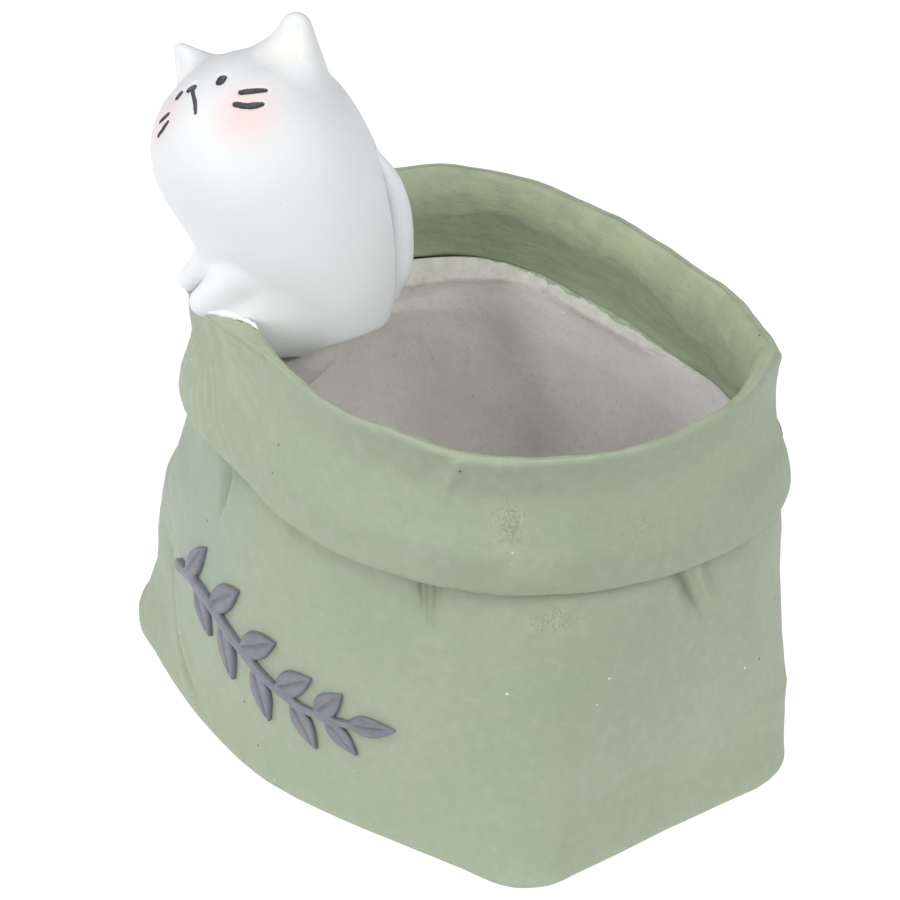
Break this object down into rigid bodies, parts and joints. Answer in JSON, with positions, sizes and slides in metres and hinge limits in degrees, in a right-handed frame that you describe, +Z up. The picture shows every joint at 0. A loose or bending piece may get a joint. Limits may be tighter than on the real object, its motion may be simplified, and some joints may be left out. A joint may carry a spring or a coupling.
{
  "type": "cat planter",
  "caption": "Sack-shaped cast planter with a folded-over cuff, grey inner pot, lift-out drain stopper and a white cat sitting on the front rim.",
  "frame": {"origin": "on the flat base, under the middle of the four base corners", "axes": "+Z up, +X along the wide front face towards the planter's narrower-cuffed end away from the cat, -Y is the front with the relief and the cat"},
  "size_m": [0.1247, 0.0925, 0.1243],
  "materials": {
    "sage_paint": "brushed-on matt sage green paint over cast resin, rubbed lighter along edges",
    "grey_lining": "bare pale warm grey cast resin with a chalky cream top edge",
    "white_paint": "satin white paint, soft pink on the cheeks",
    "face_paint": "glossy dark grey paint laid in shallow grooves",
    "relief_paint": "satin mid grey paint on a raised relief",
    "stopper_rubber": "matt dark rubber"
  },
  "bodies": {
    "pot": {"sack_body": "sage_paint", "cuff_ring": "sage_paint", "inner_pot": "grey_lining", "cat_body": "white_paint", "cat_tail": "white_paint", "cat_glue_bead": "white_paint", "left_eye": "face_paint", "right_eye": "face_paint", "nose": "face_paint", "mouth_line": "face_paint", "left_whisker_upper": "face_paint", "left_whisker_lower": "face_paint", "right_whisker_upper": "face_paint", "right_whisker_lower": "face_paint", "front_sprig": "relief_paint"},
    "plug": {"drain_plug": "stopper_rubber"}
  },
  "joints": [
    {"name": "plug_lift", "type": "slide", "parent": "pot", "child": "plug", "axis": [0, 0, 1], "range_m": [0, 0.09]}
  ]
}
